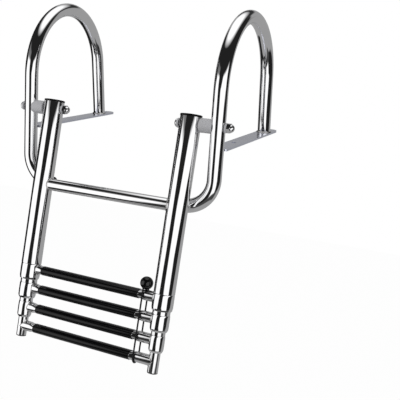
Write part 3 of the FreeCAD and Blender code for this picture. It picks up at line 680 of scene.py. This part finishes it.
def closedBead(line, out, up, radius):
    # a round bead along a closed line, its radius rippled by a sine of the length run
    step = np.linalg.norm(np.diff(line, axis=0, append=line[:1]), axis=1)
    run = np.concatenate([[0.0], np.cumsum(step)[:-1]])
    ripples = round(float(step.sum()) / weldShape["pitch"])
    swell = 1 + weldShape["ripple"] * np.abs(np.sin(math.pi * ripples * run / step.sum()))
    return beadRings(line, out, up, radius * swell)


def rungWelds(name, drop, carrier, tube, bead, body):
    # beads on the curves where a round tube meets its two round carriers
    angle = np.linspace(0, 2 * np.pi, weldShape["points"], endpoint=False)
    depth, height = tube * np.cos(angle), tube * np.sin(angle)
    inset = np.sqrt(np.maximum(carrier ** 2 - depth ** 2, 0.0))
    out = np.cos(angle)[:, None] * boatward - np.sin(angle)[:, None] * down
    beads = []
    for side, inward in inwardOf.items():
        line = onLadder(stileX[side] + inward * inset, drop - height, depth)
        grid = closedBead(line, out, np.tile(across * inward, (len(angle), 1)), bead)
        beads.append(meshFromGrid(name + side, grid, alongClosed=True, sharpAngle=80.0))
    finish(joined(name, beads), weldSteel, body, "polished_steel")


rungWelds("crossRungWelds", dropOf("cross_rung"), stileRadius, crossRung["radius"], weldShape["rungBead"],
          "upper_section")
for n in (1, 2, 3, 4):
    rungWelds("treadWelds%d" % n, treadDrop[n], carrierRadius[n], treadShape["roundRadius"],
              weldShape["treadBead"], bodyOf[n])


def legBead(x):
    # an arc of bead behind the front leg, its radius fading to nothing at both ends as a root of a sine
    s = railTube
    reach = math.radians(weldShape["legReach"])
    swing = np.linspace(math.pi / 2 - reach, math.pi / 2 + reach, weldShape["legPoints"])
    fade = np.sqrt(np.clip(np.sin(math.pi * np.linspace(0, 1, len(swing))), 0, 1))
    waves = np.sin(np.linspace(0, weldShape["legRipples"] * math.pi, len(swing)))
    ripple = 1 + weldShape["ripple"] * np.abs(waves)
    out = np.stack([np.cos(swing), np.sin(swing), 0 * swing], 1)
    line = np.array([x, legY, s["plateTop"]]) + s["radius"] * out
    upward = np.tile([0.0, 0.0, 1.0], (len(swing), 1))
    return beadRings(line, out, upward, weldShape["legBead"] * fade * ripple)


def backBead(x):
    # a bead round the back leg's oval cut on the plate, which is longer by one over the cosine of the lean
    s = railTube
    lean = math.radians(s["backLean"])
    angle = np.linspace(0, 2 * np.pi, weldShape["points"], endpoint=False)
    out = np.stack([np.cos(angle), np.sin(angle), 0 * angle], 1)
    backTop = s["archStart"] + s["archRadius"] * math.sin(lean)
    footY = legY + s["archRadius"] * (1 + math.cos(lean)) + (backTop - s["plateTop"]) * math.tan(lean)
    line = np.array([x, footY, s["plateTop"]]) + s["radius"] * out * [1.0, 1 / math.cos(lean), 0.0]
    upward = np.tile([0.0, 0.0, 1.0], (len(angle), 1))
    return closedBead(line, out, upward, weldShape["plateBead"])


for side in sides:
    beads = [
        meshFromGrid("backBead", backBead(railX[side]), alongClosed=True, sharpAngle=80.0),
        meshFromGrid("legBead", legBead(railX[side]), sharpAngle=80.0),
    ]
    finish(joined("plateWelds_" + side, beads), weldSteel, "handrails", "polished_steel")
print("welds made")

# Pivots: head, washers, saddle spacer and domed nut on each bolt

pivotShape = {
    "headRadius": 0.0075, "headHeight": 0.005, "headFace": 0.55, "headRim": 0.4, "bolt": 0.005,
    "headRounding": [0, 0.003, 0.0015, 0.0004, 0, 0.0004, 0],  # one for each corner, as for the washers
    "washerRadius": 0.0085, "washer": 0.0035, "washerRounding": [0.0002, 0.0006, 0.0006, 0.0002],
    "hole": 0.0051, "nutAcross": 0.0155, "nutHeight": 0.0065, "lowerChamfer": 1.02, "upperChamfer": 0.99,
    "chamferSlope": 1.5, "lowRow": 0.0004, "flatsFrom": 0.0010, "domeRadius": 0.0070, "domeSink": 0.0006,
    "flatRows": 10, "domeRows": 20,
    "spacerRadius": 0.0125, "saddleGap": 0.0001, "saddleEdge": 0.0003, "stileEdge": 0.0005,
    "spacerRows": [0, 0, 0, 0.004, 0.5, 0.985, 1, 1], "columns": 144, "turnedColumns": 64,
}


def buildBolt(side):
    # a head and a plain shank turned round the pivot axis
    s = pivotShape
    boltLow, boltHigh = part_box("pivot_bolt_" + side)
    headFace = boltLow[0] + s["headHeight"]
    shank = boltHigh[0] - headFace
    corners = [(0, -s["headHeight"]), (s["headFace"] * s["headRadius"], -s["headHeight"]),
               (s["headRadius"], -s["headRim"] * s["headHeight"]), (s["headRadius"], 0),
               (s["bolt"], 0), (s["bolt"], shank), (0, shank)]
    profile = roundedCorners(corners, s["headRounding"], 8)
    grid = turnedGrid(profile, pivotAxis + [headFace, 0, 0], across, columns=s["turnedColumns"])
    bolt = meshFromGrid("boltTurned_" + side, grid)
    finish(bolt, boltSteel, "handrails", "polished_steel", "pivot_bolt_" + side)


def buildWashers(side):
    # two flat rings, one at each end of the node
    s = pivotShape
    washerLow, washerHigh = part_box("pivot_washers_" + side)
    inner, outer, high = s["hole"], s["washerRadius"], s["washer"]
    corners = [(inner, 0), (outer, 0), (outer, high), (inner, high)]
    profile = roundedCorners(corners, s["washerRounding"], 5, closed=True)
    grids = [turnedGrid(profile, pivotAxis + [x, 0, 0], across, columns=s["turnedColumns"])
             for x in (washerLow[0], washerHigh[0] - s["washer"])]
    rings = joined("washerRings_" + side, [meshFromGrid("ring", grid, alongClosed=True) for grid in grids])
    finish(rings, spacerNylon, "handrails", "grey_nylon", "pivot_washers_" + side)


def buildNut(side):
    # six flats, their radius the flat's distance over a cosine, cut by a cone at both ends, and over them
    # a dome, a quarter of an ellipse turned round the axis
    s = pivotShape
    nutLow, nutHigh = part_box("pivot_nut_" + side)
    half = s["nutAcross"] / 2
    angle = np.linspace(0, 2 * np.pi, s["columns"], endpoint=False)
    flats = np.linspace(s["flatsFrom"], s["nutHeight"], s["flatRows"])
    height = np.concatenate([[0.0, 0.0, s["lowRow"]], flats])
    hexagon = half / np.cos((angle % (math.pi / 3)) - math.pi / 6)
    chamfer = np.minimum(half * s["lowerChamfer"] + s["chamferSlope"] * height,
                         half * s["upperChamfer"] + s["chamferSlope"] * (s["nutHeight"] - height))
    chamfer[:2] = (0.0, half)
    radius = np.minimum(hexagon[None], chamfer[:, None])
    around = np.stack([0 * angle, np.cos(angle), np.sin(angle)], 1)
    foot = pivotAxis + nutLow[0] * across
    body = foot + height[:, None, None] * across + radius[..., None] * around[None]
    swing = np.linspace(0, math.pi / 2, s["domeRows"])
    base = s["nutHeight"] - s["domeSink"]
    domeHeight = base + (nutHigh[0] - nutLow[0] - base) * np.sin(swing)
    domeRadius = s["domeRadius"] * np.cos(swing)
    dome = foot + domeHeight[:, None, None] * across + domeRadius[:, None, None] * around[None]
    nut = meshFromGrid("nut_" + side, np.concatenate([body, dome]), sharpAngle=24.0)
    finish(nut, boltSteel, "handrails", "polished_steel", "pivot_nut_" + side)


def buildSpacer(side):
    # a closed row of rings: bore and rim at the saddle, rim and bore at the stile; the saddle lies on the
    # round rail, so its x is the root of the rail's radius squared less sideways squared
    s = pivotShape
    inward, edge = inwardOf[side], s["spacerRadius"]
    ends = sorted((corner[0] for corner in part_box("pivot_spacer_" + side)), key=lambda x: x * inward)
    angle = np.linspace(0, 2 * np.pi, s["columns"], endpoint=False)
    ringRadius = np.array([s["hole"], 0.5 * (s["hole"] + edge), edge - s["saddleEdge"], edge, edge, edge,
                           edge - s["stileEdge"], s["hole"]])[:, None]
    sideways = ringRadius * np.cos(angle)[None]
    railRadius = railTube["radius"] + s["saddleGap"]
    saddle = railX[side] + inward * np.sqrt(np.maximum(railRadius ** 2 - sideways ** 2, 0.0))
    saddle = inward * np.maximum(inward * saddle, inward * ends[0])
    t = np.array(s["spacerRows"])[:, None]
    x = (1 - t) * saddle + t * ends[1]
    grid = np.stack([x, pivotAxis[1] + sideways, pivotAxis[2] + ringRadius * np.sin(angle)[None]], -1)
    piece = meshFromGrid("saddleSpacer_" + side, grid, alongClosed=True, sharpAngle=40.0)
    finish(piece, spacerNylon, "handrails", "grey_nylon", "pivot_spacer_" + side)


for side in sides:
    buildBolt(side)
    buildWashers(side)
    buildNut(side)
    buildSpacer(side)
print("pivots made")

# Strap: a braided elastic loop down the front of the treads, round the lowest and up behind, and its ball

strapShape = {
    "radius": 0.0015, "gap": 0.0003, "rows": 160, "arcRows": 60, "columns": 24, "keep": 0.3,
    "halfDepth": 0.009843, "halfHeight": 0.009080,  # of the tread where the strap crosses it
}
ballShape = {
    "radius": 0.0117, "rows": 65, "seamDepth": 0.012, "seamWidth": 0.02,
    "dimpleDepth": 0.10, "dimpleWidth": 0.12,
}
strapX = float(middle("strap_ball")[0])
ballDrop = dropOf("strap_ball")
reach = strapShape["halfDepth"] + strapShape["gap"] + strapShape["radius"]
loopDrop = treadDrop[4] + strapShape["halfHeight"] + strapShape["gap"] + strapShape["radius"] - reach
topDrop = ballDrop + ballShape["radius"] / 2
straight = np.linspace(topDrop, loopDrop, strapShape["rows"])
turn = np.linspace(0, math.pi, strapShape["arcRows"])[1:-1]
pathDrop = np.concatenate([straight, loopDrop + reach * np.sin(turn), straight[::-1]])
outward = np.concatenate([np.full_like(straight, -1.0), -np.cos(turn), np.full_like(straight, 1.0)])
pathOut = reach * outward
fallward = np.concatenate([0 * straight, np.sin(turn), 0 * straight])
angle = np.linspace(0, 2 * np.pi, strapShape["columns"], endpoint=False)
swell = strapShape["radius"] * np.cos(angle)[None]
grid = onLadder(strapX + strapShape["radius"] * np.sin(angle)[None] + 0 * pathDrop[:, None],
                pathDrop[:, None] + swell * fallward[:, None], pathOut[:, None] + swell * outward[:, None])
ends = [np.repeat(grid[k].mean(0)[None], strapShape["columns"], 0)[None] for k in (0, -1)]
strap = meshFromGrid("strapLoop", np.concatenate([ends[0], grid, ends[1]]), sharpAngle=60.0)
finish(strap, strapBraid, "upper_section", "black_cord", "strap_cord")
squashFoot = tuple(onLadder(strapX, topDrop))
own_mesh(strap)

s = ballShape
polar = np.linspace(0, math.pi, s["rows"])
# a fine moulding line round the middle, and the dimple where the cord is drawn in, each a bell curve
seam = 1 - s["seamDepth"] * np.exp(-((polar - math.pi / 2) / s["seamWidth"]) ** 2)
dimple = 1 - s["dimpleDepth"] * np.exp(-(polar / s["dimpleWidth"]) ** 2)
profile = s["radius"] * np.stack([np.sin(polar) * seam, np.cos(polar) * dimple], 1)
ball = meshFromGrid("strapBall", turnedGrid(profile, onLadder(strapX, ballDrop), -down), sharpAngle=70.0)
finish(ball, ballRubber, "upper_section", "black_rubber", "strap_ball")
print("strap made")

# Nodes whose own shape stays

keptNodes = {"deck_plate_" + side: plateSteel for side in sides}
keptNodes.update({"guides_%d" % n: spacerNylon for n in (2, 3, 4)})
for node, material in keptNodes.items():
    kept = frame["nodes"][node]
    kept.data.materials.clear()
    kept.data.materials.append(material)

# Studio: a pale floor far below, one soft lamp, a world that is white to the camera, and a dome of lit cards
# that only reflections see

studio = {
    "floorHeight": -1.35, "floorSize": 8.0, "floorColour": 0.86, "floorRoughness": 0.9, "whiteShare": 0.95,
    "lampPlace": (-0.9, -1.6, 1.9), "lampTilt": 42.0, "lampTurn": -28.0, "lampSize": 1.6, "lampPower": 14.0,
    "bright": 1.18, "grey": 0.30, "domeCentre": (0.19, -0.12, -0.08), "domeRadius": 1.15,
    "domeRows": 49, "domeColumns": 96, "softTurn": 2.2, "softRise": 2.2, "plain": 0.85,
}


def floorMaterial():
    material = bpy.data.materials.new("paleFloor")
    material.use_nodes = True
    tree = material.node_tree
    shader = tree.nodes["Principled BSDF"]
    shader.inputs["Base Color"].default_value = (studio["floorColour"],) * 3 + (1.0,)
    shader.inputs["Roughness"].default_value = studio["floorRoughness"]
    glow = tree.nodes.new("ShaderNodeEmission")
    path = tree.nodes.new("ShaderNodeLightPath")
    share = mathNode(tree, "MULTIPLY", path.outputs["Is Camera Ray"], studio["whiteShare"])
    mix = tree.nodes.new("ShaderNodeMixShader")
    tree.links.new(share, mix.inputs[0])
    tree.links.new(shader.outputs[0], mix.inputs[1])
    tree.links.new(glow.outputs[0], mix.inputs[2])
    tree.links.new(mix.outputs[0], tree.nodes["Material Output"].inputs["Surface"])
    return material


def buildFloor():
    half, height = studio["floorSize"] / 2, studio["floorHeight"]
    corners = [(-half, -half, height), (half, -half, height), (half, half, height), (-half, half, height)]
    mesh = bpy.data.meshes.new("floor")
    mesh.from_pydata(corners, [], [(0, 1, 2, 3)])
    mesh.materials.append(floorMaterial())
    floor = bpy.data.objects.new("floor", mesh)
    bpy.context.scene.collection.objects.link(floor)
    floor.visible_glossy = False


def buildLamp():
    data = bpy.data.lights.new("softLamp", "AREA")
    data.size = studio["lampSize"]
    data.energy = studio["lampPower"]
    lamp = bpy.data.objects.new("softLamp", data)
    lamp.location = studio["lampPlace"]
    lamp.rotation_euler = (math.radians(studio["lampTilt"]), 0, math.radians(studio["lampTurn"]))
    lamp.visible_glossy = False
    bpy.context.scene.collection.objects.link(lamp)


# The dome's cards, each laid over those before it. Turn is the angle to the right of the camera and rise the
# angle above the horizon, both from the dome's centre. A card's two side edges are (turn at rise nought,
# turn gained for each degree of rise), and its last numbers are the rises of its lower and upper edge and
# its brightness.
cards = {
    "darkFront": ((-160.0, 0.0), (99.0, 1.1), -29.0, 21.0, 0.012),
    "darkUpper": ((-160.0, 0.0), (117.0, 0.0), 17.0, 75.0, 0.014),
    "darkBack": ((110.0, 0.0), (176.0, 0.0), 36.0, 75.0, 0.03),
    "upperLeft": ((-98.0, 0.0), (-48.0, 0.0), 22.0, 37.0, 0.16),
    "lowFront": ((-95.0, 0.0), (66.0, 0.0), -47.0, -27.0, 0.05),
    "darkLeftEnd": ((-172.0, 0.0), (-90.0, 0.0), -48.0, -10.0, 0.012),
    "rungDark": ((-95.0, 0.0), (-48.0, 0.0), -50.0, -31.0, 0.014),
    "leftCard": ((-99.0, 0.6), (-43.0, 0.0), -6.5, 26.0, 1.0),
    "leftCardEnd": ((-99.0, 0.0), (-43.0, 0.3), -27.0, -3.0, 1.0),
    "leftCardFoot": ((-99.0, 0.0), (-79.0, 0.0), -37.0, -23.0, 1.0),
    "rightCard": ((-10.0, 1.0), (65.0, 0.0), 5.0, 24.0, 1.0),
    "rightCardEnd": ((-6.0, 0.2), (51.0, 1.5), -15.0, 9.0, 1.0),
    "rightCardFoot": ((-5.0, 0.0), (35.0, 0.0), -30.0, -11.0, 1.0),
}
studioTop = {"rise": 61.0, "swing": 9.0, "turn": 40.0, "soft": 7.0, "level": 1.0}


def maskBetween(tree, value, low, high, soft):
    # rises from nought to one over a soft edge at low, and falls again at high
    mask = None
    for edge, sign in ((low, 1), (high, -1)):
        gap = mathNode(tree, "SUBTRACT", value, edge) if sign > 0 else mathNode(tree, "SUBTRACT", edge, value)
        step = mapRange(tree, gap, -soft, soft, 0.0, 1.0)
        mask = step if mask is None else mathNode(tree, "MULTIPLY", mask, step)
    return mask


def layOver(tree, below, mask, level):
    # below plus mask times the difference
    if isinstance(below, (int, float)):
        return mathNode(tree, "MULTIPLY_ADD", mask, level - below, below)
    return mathNode(tree, "MULTIPLY_ADD", mask, mathNode(tree, "SUBTRACT", level, below), below)


def blendColours(tree, share, first, second):
    mix = tree.nodes.new("ShaderNodeMix")
    mix.data_type = "RGBA"
    for socket, value in ((mix.inputs[0], share), (mix.inputs[6], first), (mix.inputs[7], second)):
        if isinstance(value, (int, float)):
            socket.default_value = (value,) * 3 + (1.0,)
        else:
            tree.links.new(value, socket)
    return mix.outputs[2]


def studioLight(tree, direction):
    # brightness of the studio in a direction from the dome's centre
    parts = tree.nodes.new("ShaderNodeSeparateXYZ")
    tree.links.new(direction, parts.inputs[0])
    # turn is the polar angle of the direction less that of the line to the camera
    polar = mathNode(tree, "ARCTAN2", parts.outputs["Y"], parts.outputs["X"])
    fromCamera = mathNode(tree, "ADD", polar, math.radians(90 - view["yaw"]))
    turn = mathNode(tree, "MULTIPLY", mathNode(tree, "WRAP", fromCamera, math.pi, -math.pi), 180 / math.pi)
    rise = mathNode(tree, "MULTIPLY", mathNode(tree, "ARCSINE", parts.outputs["Z"]), 180 / math.pi)
    level = studio["grey"]
    for left, right, bottom, top, brightness in cards.values():
        edges = [mathNode(tree, "MULTIPLY_ADD", rise, slope, start) for start, slope in (left, right)]
        mask = maskBetween(tree, turn, edges[0], edges[1], studio["softTurn"])
        mask = mathNode(tree, "MULTIPLY", mask, maskBetween(tree, rise, bottom, top, studio["softRise"]))
        level = layOver(tree, level, mask, brightness)
    # the top opening's edge rises and falls with the cosine of the turn
    s = studioTop
    turned = mathNode(tree, "MULTIPLY_ADD", turn, math.pi / 180, math.radians(s["turn"]))
    edge = mathNode(tree, "MULTIPLY_ADD", mathNode(tree, "COSINE", turned), s["swing"], s["rise"])
    mask = mapRange(tree, mathNode(tree, "SUBTRACT", rise, edge), -s["soft"], s["soft"], 0.0, 1.0)
    level = layOver(tree, level, mask, s["level"])
    return mathNode(tree, "MULTIPLY", level, studio["bright"])


def onlyReflected(piece):
    # neither the camera nor plain surfaces see it, and it casts no shadow
    piece.visible_camera = piece.visible_diffuse = piece.visible_transmission = piece.visible_shadow = False


def buildDome():
    # a sphere of points from two angles, its glow worked out from the direction of each place on it
    centre, radius = np.array(studio["domeCentre"]), studio["domeRadius"]
    polar = np.linspace(0, math.pi, studio["domeRows"])[:, None]
    angle = np.linspace(0, 2 * np.pi, studio["domeColumns"], endpoint=False)[None]
    x, y, z = np.sin(polar) * np.cos(angle), np.sin(polar) * np.sin(angle), np.cos(polar) + 0 * angle
    dome = meshFromGrid("studioDome", centre + radius * np.stack([x, y, z], -1), sharpAngle=80.0)
    material = bpy.data.materials.new("studioCards")
    material.use_nodes = True
    tree = material.node_tree
    tree.nodes.remove(tree.nodes["Principled BSDF"])
    coordinates = tree.nodes.new("ShaderNodeTexCoord")
    fromCentre = tree.nodes.new("ShaderNodeVectorMath")
    fromCentre.operation = "SUBTRACT"
    fromCentre.inputs[1].default_value = studio["domeCentre"]
    unit = tree.nodes.new("ShaderNodeVectorMath")
    unit.operation = "NORMALIZE"
    glow = tree.nodes.new("ShaderNodeEmission")
    tree.links.new(coordinates.outputs["Object"], fromCentre.inputs[0])
    tree.links.new(fromCentre.outputs[0], unit.inputs[0])
    tree.links.new(studioLight(tree, unit.outputs[0]), glow.inputs["Strength"])
    tree.links.new(glow.outputs[0], tree.nodes["Material Output"].inputs["Surface"])
    dome.data.materials.append(material)
    onlyReflected(dome)


def buildWorld():
    # white to the camera and plain pale grey to everything else
    world = bpy.data.worlds.new("studioWorld")
    bpy.context.scene.world = world
    world.use_nodes = True
    tree = world.node_tree
    path = tree.nodes.new("ShaderNodeLightPath")
    seen = blendColours(tree, path.outputs["Is Camera Ray"], studio["plain"], 1.0)
    tree.links.new(seen, tree.nodes["Background"].inputs["Color"])


buildFloor()
buildLamp()
buildDome()
buildWorld()


def placeCamera():
    # the camera's axes from yaw, pitch and roll; the shift carries the picture's centre
    yaw, pitch, roll = (math.radians(view[key]) for key in ("yaw", "pitch", "roll"))
    forward = np.array([-math.sin(yaw) * math.cos(pitch), math.cos(yaw) * math.cos(pitch), math.sin(pitch)])
    right = np.cross(forward, [0, 0, 1.0])
    right /= np.linalg.norm(right)
    up = np.cross(right, forward)
    rolledRight = right * math.cos(roll) + up * math.sin(roll)
    rolledUp = -right * math.sin(roll) + up * math.cos(roll)
    data = bpy.data.cameras.new("camera")
    camera = bpy.data.objects.new("camera", data)
    bpy.context.scene.collection.objects.link(camera)
    matrix = np.eye(4)
    matrix[:3] = np.stack([rolledRight, rolledUp, -forward, view["place"]], 1)
    camera.matrix_world = Matrix(matrix.tolist())
    data.sensor_width = view["sensor"]
    data.lens = view["focal"] / view["frameSize"] * view["sensor"]
    data.shift_x = (view["frameSize"] / 2 - view["centre"][0]) / view["frameSize"]
    data.shift_y = (view["centre"][1] - view["frameSize"] / 2) / view["frameSize"]
    data.clip_start, data.clip_end = view["clip"]
    bpy.context.scene.camera = camera


placeCamera()
bpy.context.scene.view_settings.view_transform = "Standard"
print("studio ready")
